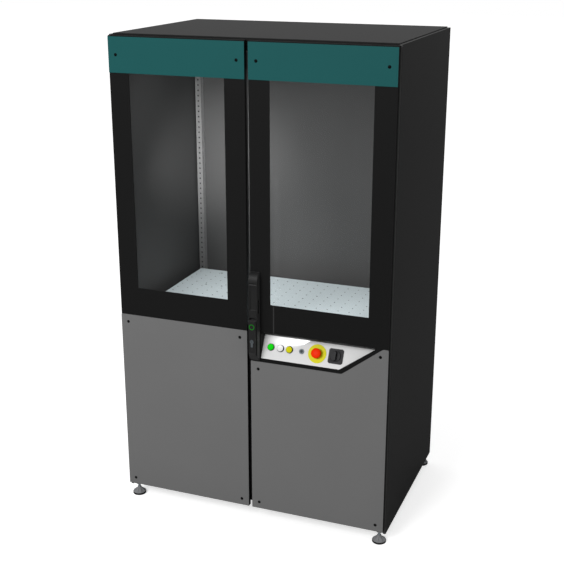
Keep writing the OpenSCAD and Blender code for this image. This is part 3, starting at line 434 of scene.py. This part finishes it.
def repeated(name, body, slot, unit, places, turn=0.0, axis=(0, 0, 1), seed=7, nodes=()):
    """Copies of one small mesh at many places, each turned by its own amount about the axis."""
    tree = bpy.data.node_groups.new(name, "GeometryNodeTree")
    outside = tree.interface
    outside.new_socket(name="Places", in_out="INPUT", socket_type="NodeSocketGeometry")
    sockets = {n: outside.new_socket(name=n, in_out="INPUT", socket_type=t).identifier
               for n, t in (("Piece", "NodeSocketObject"), ("Turn", "NodeSocketFloat"),
                            ("Paint", "NodeSocketMaterial"))}
    outside.new_socket(name="Pieces", in_out="OUTPUT", socket_type="NodeSocketGeometry")
    net = Nodes(tree)
    given = {s.name: Wire(net, s) for s in tree.nodes.new("NodeGroupInput").outputs}
    model = net.add("GeometryNodeObjectInfo", {}, {"Object": given["Piece"]}, out="Geometry")
    spin = net.add("FunctionNodeRandomValue", {"data_type": "FLOAT"},
                   {2: given["Turn"] * -1, 3: given["Turn"], "Seed": seed}, out=1)
    about = net.add("FunctionNodeAxisAngleToRotation", {}, {"Axis": axis, "Angle": spin})
    copies = net.add("GeometryNodeInstanceOnPoints", {},
                     {"Points": given["Places"], "Instance": model, "Rotation": about})
    real = net.add("GeometryNodeRealizeInstances", {}, {"Geometry": copies})
    painted = net.add("GeometryNodeSetMaterial", {}, {"Geometry": real, "Material": given["Paint"]})
    net.plug(painted, tree.nodes.new("NodeGroupOutput").inputs[0])
    points = bpy.data.meshes.new(name + "_places")
    points.from_pydata([tuple(p) for p in places], [], [])
    holder = bpy.data.objects.new(name + "_places", points)
    pattern = bpy.data.objects.new(name + "_unit", unit)
    for thing in (holder, pattern):
        scene.collection.objects.link(thing)
    rows = holder.modifiers.new("rows", "NODES")
    rows.node_group = tree
    rows[sockets["Piece"]], rows[sockets["Turn"]], rows[sockets["Paint"]] = pattern, turn, unit.materials[0]
    bpy.context.view_layer.update()
    made = holder.evaluated_get(bpy.context.evaluated_depsgraph_get())
    mesh = bpy.data.meshes.new_from_object(made)
    mesh.name = name
    for thing in (holder, pattern):
        bpy.data.objects.remove(thing)
    return place_piece(name, mesh, body, slot, *nodes)


to_front = Matrix.Rotation(radians(90), 4, "X")
eased("din_rails", zinc, width=0.3, segments=1)
duct_plastic = moulded("duct_grey", "9a9c9e")
eased("wiring_ducts", duct_plastic, width=0.3, segments=1)
duct_low, duct_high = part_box("wiring_ducts")
lids = Shape()
lid_t, lid_over, duct_h = 1.5 * mm, 1 * mm, 40 * mm
for z in (duct_low.z, duct_high.z - duct_h):
    lids.boxed((duct_low.x, duct_low.y - lid_t, z - lid_over),
               (duct_high.x, duct_low.y, z + duct_h + lid_over), ease=0.5 * mm)
place_piece("duct_lids", lids.done("duct_lids", duct_plastic), "cabinet", "duct_grey")

module_paint = moulded("module_dark", "3a3c3f")
eased("drive_modules", module_paint, width=1.2)
eased("switchgear", module_paint, width=0.6, segments=1)
eased("power_supply", plated("supply_case", "b0b2b4"), width=0.8)
eased("controller_unit", powder_coat("controller_case", "46494c", roughness=0.5, specular=0.3), width=1.5)

# Plugs, displays and lamps of the drives
# Each drive carries three green plug-in terminals, one above another, a small dark display and
# three round green lamps in its moulded front.
drive_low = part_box("drive_modules")[0]
drives, drive_pitch, drive_w, drive_face = 6, 70 * mm, 62 * mm, drive_low.y
drive_x = [drive_low.x + i * drive_pitch + drive_w / 2 for i in range(drives)]
socket_green = moulded("socket_green", "3f7a4a", roughness=0.45)
plug_half, plug_out, plug_in, plug_h = 14 * mm, 1.5 * mm, 5.5 * mm, 9 * mm
plug_sunk, plug_heights = 0.5 * mm, (16 * mm, 28 * mm, 40 * mm)
plug = Shape().boxed((-plug_half, -plug_out, 0), (plug_half, plug_in, plug_h), ease=0.6 * mm)
repeated("drive_plugs", "cabinet", "duct_grey", plug.done("plug", socket_green),
         [(x, drive_face + plug_sunk, drive_low.z + z) for x in drive_x for z in plug_heights])
display_half, display_out, display_in, display_h, display_z = 11 * mm, 1 * mm, 0.5 * mm, 14 * mm, 175 * mm
window = Shape().boxed((-display_half, -display_out, 0), (display_half, display_in, display_h), ease=0.8 * mm)
display = moulded("display_black", "0c0f12", roughness=0.12, specular=0.5)
repeated("drive_displays", "cabinet", "module_dark", window.done("display", display),
         [(x, drive_face, drive_low.z + display_z) for x in drive_x])
light_r, light_rim, light_top_r, light_shoulder, light_h = 1.5 * mm, 0.6 * mm, 0.9 * mm, 1.1 * mm, 1.3 * mm
light_z, light_steps = 160 * mm, (-8 * mm, 0, 8 * mm)
light = Shape().turned([(0, 0), (light_r, 0), (light_r, light_rim), (light_top_r, light_shoulder),
                        (0, light_h)], steps=16)
light_green = moulded("light_green", "28c040")
repeated("drive_lights", "cabinet", "cap_green", light.done("light", light_green, to_front),
         [(x + dx, drive_face, drive_low.z + light_z) for x in drive_x for dx in light_steps])

# Ports of the controller unit
# A column of six tinned steel sockets for cables, soldered on the unit's board and let into its
# front near the right side.
unit_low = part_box("controller_unit")[0]
port_half, port_out, port_h = 8 * mm, 4.5 * mm, 13 * mm
port_x, port_sunk, port_foot, port_pitch, port_count = 192 * mm, 6 * mm, 74 * mm, 20 * mm, 6
port = Shape().boxed((-port_half, -port_out, 0), (port_half, 0, port_h), ease=0.8 * mm)
port_metal = plated("port_metal", "9ea2a6")
repeated("unit_ports", "cabinet", "supply_case", port.done("port", port_metal),
         [(unit_low.x + port_x, unit_low.y + port_sunk, unit_low.z + port_foot + i * port_pitch)
          for i in range(port_count)])


# Screws, toggles and bridges of the switchgear
# Plated clamp screws in two rows on each contactor, breaker and terminal, the black toggle of
# each breaker and the moving bridge in each contactor's front.
def clamp_screw(radius, height):
    """A low round screw head with a recess in its middle."""
    rim_share, chamfer_share, recess_share, floor_share = 0.5, 0.85, 0.25, 0.3
    recess, floor = radius * recess_share, height * floor_share
    return Shape().turned([(0, -height), (radius, -height), (radius, height * rim_share),
                           (radius * chamfer_share, height), (recess, height), (recess, floor), (0, floor)],
                          steps=24)


gear_front, gear_step, gear_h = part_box("switchgear")[0].y, 12 * mm, 75 * mm
high_z, low_z, row_in = 690 * mm, 200 * mm, 9 * mm
row_start, breaker_start = -435 * mm, 45 * mm
contactor_pitch, breaker_pitch, terminal_pitch = 60 * mm, 18.3 * mm, 9.3 * mm
contactor_poles, breaker_mid, terminal_mid = (10 * mm, 22.5 * mm, 35 * mm), 9 * mm, 4.5 * mm
contactor_x = [row_start + i * contactor_pitch for i in range(5)]
breaker_x = [breaker_start + i * breaker_pitch for i in range(9)]
terminal_x = [row_start + i * terminal_pitch for i in range(24)]
screw_spots = [(x + dx, high_z) for x in contactor_x for dx in contactor_poles]
screw_spots += [(x + breaker_mid, high_z) for x in breaker_x]
screw_spots += [(x + terminal_mid, low_z) for x in terminal_x]
screw = clamp_screw(2.6 * mm, 0.8 * mm)
repeated("terminal_screws", "cabinet", "pin_steel", screw.done("terminal_screw", port_metal, to_front),
         [(x, gear_front + gear_step, z + dz) for x, z in screw_spots for dz in (row_in, gear_h - row_in)])
toggle_half, toggle_out, toggle_in, toggle_down, toggle_up = 4 * mm, 9 * mm, 1 * mm, 7 * mm, 5 * mm
toggle = Shape().boxed((-toggle_half, -toggle_out, -toggle_down), (toggle_half, toggle_in, toggle_up),
                       ease=1.2 * mm)
toggle_paint = moulded("toggle_black", "151515", roughness=0.4)
repeated("breaker_toggles", "cabinet", "bezel_dark", toggle.done("toggle", toggle_paint),
         [(x + breaker_mid, gear_front, high_z + gear_h / 2) for x in breaker_x])
bridge_half, bridge_out, bridge_in, bridge_up = 9 * mm, 3 * mm, 1 * mm, 7 * mm
bridge = Shape().boxed((-bridge_half, -bridge_out, -bridge_up), (bridge_half, bridge_in, bridge_up),
                       ease=1 * mm)
repeated("contactor_bridges", "cabinet", "duct_grey", bridge.done("bridge", duct_plastic),
         [(x + contactor_poles[1], gear_front, high_z + gear_h / 2) for x in contactor_x])


# Feet
# Levelling feet: a rubber pad, a ribbed glass-filled nylon foot and a zinc plated spindle with
# its lock nut under the base frame.
def hexagon(across):
    """Radius of a hexagon with that width across its flats, by angle."""
    return lambda a: across / 2 / cos((a + pi / 6) % (pi / 3) - pi / 6)


eased("foot_pads", rubber, width=0.6)
eased("foot_plates", moulded("foot_nylon", "858688", roughness=0.45), width=0.5)
pin_steel = plated("pin_steel", "aeb4b8")
spindle_low, spindle_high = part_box("foot_spindles")
feet, spindle_in_x, spindle_in_y = Shape(), 11 * mm, 9.53 * mm
core, crest, pitch, rise_share, crest_share = 5.1 * mm, 6.0 * mm, 1.75 * mm, 0.4, 0.6
turns = int((spindle_high.z - spindle_low.z) / pitch)
thread = [(0, spindle_low.z)]
for i in range(turns):
    low = spindle_low.z + i * pitch
    thread += [(core, low), (crest, low + pitch * rise_share), (crest, low + pitch * crest_share)]
thread += [(core, spindle_low.z + turns * pitch), (0, spindle_low.z + turns * pitch)]
nut_low, nut_high, nut_face, flat, ease = 44 * mm, 52 * mm, 9 * mm, hexagon(19 * mm), 0.8 * mm
nut = [(core, nut_low), (nut_face, nut_low), (flat, nut_low + ease), (flat, nut_high - ease),
       (nut_face, nut_high), (core, nut_high), (core, nut_low)]
for x in (spindle_low.x + spindle_in_x, spindle_high.x - spindle_in_x):
    for y in (spindle_low.y + spindle_in_y, spindle_high.y - spindle_in_y):
        corner = Matrix.Translation((x, y, 0))
        feet.turned(thread, corner, steps=24).turned(nut, corner)
place_piece("foot_spindles_finished", feet.done("foot_spindles_finished", pin_steel), "cabinet",
            "pin_steel", "foot_spindles")

# Hinges
# Goose-neck arms of zinc plated steel, bent round the folded edges of the doors and bolted to
# the front uprights. Turned steel pins with a flat head are dropped in from above.
eased("hinge_arms", zinc, width=0.5)
eased("hinge_pins", pin_steel, width=0.5)

# Door shells and meeting strip
# Folded 2 mm steel shells, powder coated satin black; the strip stiffens the free edge of the
# left door and closes the gap behind it.
door_paint = powder_coat("door_black", "171717")
for node in ("left_door_shell", "right_door_shell"):
    eased(node, door_paint, width=0.8)
# The strip's mid grey is painted light: it stands in for light falling into the gap between the doors.
eased("left_meeting_strip", powder_coat("strip_painted_light_grey", "4c4c4c"), width=0.8)

# Header bars and lower panels
# Flat 3 mm sheets screwed on the doors from the front: petrol green bars above the windows,
# grey panels below them, all powder coated.
teal_paint = powder_coat("header_teal", "1c5050")
for node in ("left_header_bar", "right_header_bar"):
    eased(node, teal_paint, width=0.5)
grey_paint = powder_coat("front_grey", "6a6a6a", specular=0.06)
for node in ("left_lower_panel", "right_lower_panel"):
    eased(node, grey_paint, width=0.5)

# Panel screws
# Black button-head screws with a hexagon socket, turned into riveted nuts in the door sheet.
# They hold the corners of the header bars and of the lower panels.
screw_paint = powder_coat("screw_black", "080808", roughness=0.4)
head_r, head_h, key_flat, key_deep = 6.5 * mm, 2 * mm, hexagon(4 * mm), 1.4 * mm
shank_r, shank_l = 2.5 * mm, 9 * mm
dome_shares = ((1, 0.15), (0.92, 0.55), (0.72, 0.88), (0.5, 1))
button_head = Shape().turned(
    [(0, -shank_l), (shank_r, -shank_l), (shank_r, 0), (head_r, 0),
     *((head_r * across, head_h * up) for across, up in dome_shares), (key_flat, head_h),
     (key_flat, head_h - key_deep), (0, head_h - key_deep)]).done("button_head", screw_paint, to_front)
head_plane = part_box("left_header_bar")[0].y
inner_x, outer_x = 41 * mm, 567 * mm
top_z, sill_z, console_z, foot_z = 1998.5 * mm, 860 * mm, 729.5 * mm, 100 * mm
for side, body in ((-1, "left_door"), (1, "right_door")):
    node = body.split("_")[0] + "_panel_screws"
    upper_z = console_z if side > 0 else sill_z
    spots = [(inner_x, top_z), (outer_x, top_z), (inner_x, upper_z), (outer_x, sill_z),
             (inner_x, foot_z), (outer_x, foot_z)]
    repeated(node + "_finished", body, "screw_black", button_head,
             [(side * x, head_plane, z) for x, z in spots], turn=radians(30), axis=(0, -1, 0),
             seed=3 + side, nodes=(node,))

# Window panes and seals
# Clear 4 mm polycarbonate clamped behind the door sheet in a rubber frame, and a foam strip
# that meets the carcass frame when a door is shut.
pane = Finish("window_glass", "10191a", 0.04, specular=0.5)
clearest, haze = 0.03, 0.02
smear = pane.noise(size=0.12, detail=3.0)
pane.set("Alpha", smear * haze + clearest)
pane.gloss(smear, amount=0.03)
for node in ("left_window_pane", "right_window_pane"):
    eased(node, pane.material, width=0.5, segments=1)
for node in ("left_door_seals", "right_door_seals"):
    eased(node, rubber, width=0.8)

# Console housing and plate
# A welded steel recess in the right door, black outside, with a white coated plate that leans
# back by 28 degrees and carries the controls.
eased("console_housing", door_paint, width=0.4)
eased("console_face", powder_coat("console_white", "d4d4d4", specular=0.1), width=0.4)
lean = radians(28)
plate_foot, control_height = Vector((0, -385.5 * mm, 779 * mm)), 51.5 * mm
up_slope, outward = Vector((0, sin(lean), cos(lean))), Vector((0, -cos(lean), sin(lean)))


def on_plate(node):
    """The place of a control: its own X axis to the right, Y up the slope, Z out of the plate."""
    low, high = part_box(node)
    spot = plate_foot + up_slope * control_height + Vector(((low.x + high.x) / 2, 0, 0))
    return Matrix(((1, up_slope.x, outward.x, spot.x), (0, up_slope.y, outward.y, spot.y),
                   (0, up_slope.z, outward.z, spot.z), (0, 0, 0, 1)))


def rounded(centre_r, height, radius, start, stop, steps=5):
    """Profile points of a round edge, between two angles in degrees."""
    angles = [radians(start + (stop - start) * i / steps) for i in range(steps + 1)]
    return [(centre_r + radius * cos(a), height + radius * sin(a)) for a in angles]


# Button bezels and key ring
# Dark moulded bezels and a nickel plated ring on threaded barrels, each held by a knurled nut
# behind the plate.
def knurled(radius, depth, teeth):
    return lambda a: radius - depth * (0.5 + 0.5 * cos(a * teeth))


def held(shape, at, outer, height, well, floor_h, bore, barrel):
    """A ring with a round well, its barrel behind the plate and the nut on the barrel."""
    length, edge, lip, chamfer = 34 * mm, 1.2 * mm, 0.5 * mm, 0.6 * mm
    nut_r, nut_z0, nut_z1 = barrel + 3.5 * mm, -9.6 * mm, -5.2 * mm
    grip = knurled(nut_r, depth=0.5 * mm, teeth=24)
    shape.turned([(bore, floor_h), (well, floor_h), (well, height - lip),
                  *rounded(outer - edge, height - edge, edge, 80, 0), (outer, 0), (barrel, 0),
                  (barrel, -length), (bore, -length), (bore, floor_h)], at)
    return shape.turned([(barrel, nut_z1), (nut_r - edge, nut_z1), (grip, nut_z1 - chamfer),
                         (grip, nut_z0 + chamfer), (nut_r - edge, nut_z0), (barrel, nut_z0),
                         (barrel, nut_z1)], at, steps=96)


bezel_plastic = moulded("bezel_dark", "262628", roughness=0.45, specular=0.1)
bezels = Shape()
for node in ("green_button", "white_button", "yellow_button"):
    held(bezels, on_plate(node), outer=15 * mm, height=6 * mm, well=13.3 * mm, floor_h=1.5 * mm,
         bore=9.05 * mm, barrel=11 * mm)
place_piece("control_bezels_finished", bezels.done("control_bezels_finished", bezel_plastic), "right_door",
            "bezel_dark", "control_bezels")
key_ring = held(Shape(), on_plate("key_rotor"), outer=11 * mm, height=4 * mm, well=7.6 * mm,
                floor_h=3.2 * mm, bore=7.05 * mm, barrel=9 * mm)
nickel = plated("cylinder_nickel", "5c6266", roughness=0.45)
place_piece("key_ring", key_ring.done("key_ring", nickel), "right_door", "cylinder_nickel")

# Push buttons
# Gloss moulded caps, one green, one white and one yellow, slightly dished, on stems that run in
# the bezels.
cap_r, cap_low, cap_top, cap_edge, stem_r, stem_l = 13 * mm, 5.8 * mm, 9.5 * mm, 1.2 * mm, 9 * mm, 24 * mm
cap_lip, dish_start, dish_share, dish_deep = 0.4 * mm, 0.3 * mm, 0.8, 0.5 * mm
for node, tint in (("green_button", "00c800"), ("white_button", "dadada"), ("yellow_button", "c8c400")):
    slot = slot_of[node]
    cap = Shape().turned([(0, -stem_l), (stem_r, -stem_l), (stem_r, cap_low), (cap_r - cap_lip, cap_low),
                          (cap_r, cap_low + cap_lip),
                          *rounded(cap_r - cap_edge, cap_top - cap_edge, cap_edge, 0, 90),
                          (cap_r * dish_share, cap_top - dish_start), (0, cap_top - dish_deep)],
                         on_plate(node))
    gloss_cap = moulded(slot, tint, roughness=0.4, specular=0.04)
    place_piece(node + "_finished", cap.done(node + "_finished", gloss_cap), node, slot, node)

# Key switch
# A lock barrel of darkened brass with a key slot, turned and broached, which is held in the
# nickel plated ring and turns in it.
eased("key_rotor", plated("key_steel", "34383a", roughness=0.5), width=0.3)

# Emergency stop
# A yellow moulded disc on the plate and a red mushroom head on its stem; the head is domed and
# its rim is ribbed for the grip.
at = on_plate("estop_collar")
disc_r, disc_t, disc_edge = 39 * mm, 2 * mm, 0.8 * mm
barrel_r, bore_r, barrel_l = 17 * mm, 15.05 * mm, 34 * mm
disc = Shape().turned([(bore_r, disc_t), *rounded(disc_r - disc_edge, disc_t - disc_edge, disc_edge, 90, 0),
                       (disc_r, 0), (barrel_r, 0), (barrel_r, -barrel_l), (bore_r, -barrel_l),
                       (bore_r, disc_t)], at, steps=96)
yellow = moulded("stop_yellow", "d2ce00", roughness=0.4, specular=0.1)
place_piece("estop_collar_finished", disc.done("estop_collar_finished", yellow), "right_door",
            "stop_yellow", "estop_collar")
red = moulded("stop_red", "e62e00", roughness=0.4, specular=0.05)
neck_h, neck_edge, spigot_r, spigot_h, shaft_r, shaft_l = 11 * mm, 0.6 * mm, 8 * mm, 19 * mm, 15 * mm, 40 * mm
stem = Shape().turned([(0, -shaft_l), (shaft_r, -shaft_l), (shaft_r, neck_h - neck_edge),
                       (shaft_r - neck_edge, neck_h), (spigot_r, neck_h), (spigot_r, spigot_h),
                       (0, spigot_h)], at)
place_piece("estop_stem_finished", stem.done("estop_stem_finished", red), "estop_stem",
            "stop_red", "estop_stem")
head_r, head_low, head_top = 21 * mm, 11.3 * mm, 26.3 * mm
head_in, under_r, under_in = 3 * mm, 2.5 * mm, 2.5 * mm
grip_low, grip_high, shoulder_r, shoulder_in, shoulder_low = 3.5 * mm, 7.5 * mm, 2.4 * mm, 2.6 * mm, 6 * mm
dome = ((17 * mm, 2.7 * mm), (12 * mm, 1 * mm), (6 * mm, 0.2 * mm), (0, 0))
seat_r, seat_top = spigot_r + 0.05 * mm, spigot_h + 0.3 * mm
rim = knurled(head_r, depth=0.5 * mm, teeth=32)
head = Shape().turned([(seat_r, seat_top), (seat_r, head_low), (head_r - head_in, head_low),
                       *rounded(head_r - under_in, head_low + under_in, under_r, -60, -15),
                       (rim, head_low + grip_low), (rim, head_low + grip_high),
                       *rounded(head_r - shoulder_in, head_top - shoulder_low, shoulder_r, 10, 62),
                       *((across, head_top - down) for across, down in dome)], at, steps=128)
head.turned([(0, seat_top), (seat_r, seat_top)], at, steps=128)
place_piece("estop_head_finished", head.done("estop_head_finished", red), "estop_head",
            "stop_red", "estop_head")

# Main switch
# A dark square plate with a round well and a quarter-turn knob with a straight grip; a pale
# strip on the left edge of the grip is a painted highlight.
eased("main_switch_plate", bezel_plastic, width=0.8)
eased("main_switch_knob", bezel_plastic, width=1.0)
# Painted highlight: a pale strip along the grip's left edge stands in for the light on that edge.
glint_left, glint_right, glint_half, glint_foot, glint_top = -5.4 * mm, -4.0 * mm, 17 * mm, 8.5 * mm, 11.3 * mm
glint_strip = Shape().boxed((glint_left, -glint_half, glint_foot), (glint_right, glint_half, glint_top), ease=0.15 * mm)
painted_glint_white = moulded("painted_glint_white", "e0e0e0")
place_piece("switch_mark", glint_strip.done("switch_mark", painted_glint_white, on_plate("main_switch_knob")),
            "main_switch_knob", "bezel_dark")

# Handle housing and lever
# Grained black polyamide mouldings: the housing with its finger slot, screwed on the door from
# behind, and the hollow lever that swings out on a pin at its upper end.
handle_look = Finish("handle_dark", "1c1c1c", 0.45, specular=0.14)
handle_look.set("Sheen Weight", 0.42)
handle_look.set("Sheen Roughness", 0.3)
handle_look.vary(handle_look.noise(size=0.03), amount=0.05)
handle_plastic = handle_look.coat(peel=0.02)
eased("handle_housing", handle_plastic, width=1.2)
eased("handle_lever", handle_plastic, width=1.0)

# Lock block, ring, button and cylinder
# A moulded block with a green ring round the release button, and a profile cylinder of nickel
# plated brass with its plug.
eased("lock_block", handle_plastic, width=1.0)
ring_low, ring_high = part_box("release_ring")
block_face = -428.5 * mm
ring_at = Matrix.Translation(((ring_low.x + ring_high.x) / 2, block_face,
                              (ring_low.z + ring_high.z) / 2)) @ to_front
seat_in, seat_out, ring_in, ring_out, ring_t = 8.05 * mm, 12.3 * mm, 9.3 * mm, 11.7 * mm, 2 * mm
rise, seat_down, lip = 0.4 * mm, 0.2 * mm, 0.3 * mm


def flat_ring(inner, outer, top):
    return Shape().turned([(inner, -ring_t), (outer, -ring_t), (outer, top - lip), (outer - lip, top),
                           (inner + lip, top), (inner, top - lip), (inner, -ring_t)], ring_at)


seat = flat_ring(seat_in, seat_out, rise - seat_down)
place_piece("ring_seat", seat.done("ring_seat", handle_plastic), "right_door", "handle_dark")
ring = flat_ring(ring_in, ring_out, rise)
green = moulded("ring_green", "008800", roughness=0.4, specular=0.1)
place_piece("release_ring_finished", ring.done("release_ring_finished", green), "right_door",
            "ring_green", "release_ring")
knob_r, knob_l, knob_rim, rim_down, knob_dish = 8 * mm, 5.7 * mm, 1.2 * mm, 0.1 * mm, 0.6 * mm
knob = Shape().turned([(0, -knob_l), (knob_r, -knob_l), (knob_r, rise - lip), (knob_r - lip, rise),
                       (knob_r - knob_rim, rise - rim_down), (0, -knob_dish)], ring_at)
place_piece("release_button_finished", knob.done("release_button_finished", handle_plastic), "release_button",
            "handle_dark", "release_button")
for node in ("lock_cylinder", "lock_plug"):
    eased(node, nickel, width=0.25)

# Lock case and rods
# A zinc plated gear case riveted behind the handle, which draws two flat steel rods up and down.
# The rods run in three small guides screwed on the back of the door.
for node in ("lock_case", "upper_lock_rod", "lower_lock_rod"):
    eased(node, zinc, width=0.4)
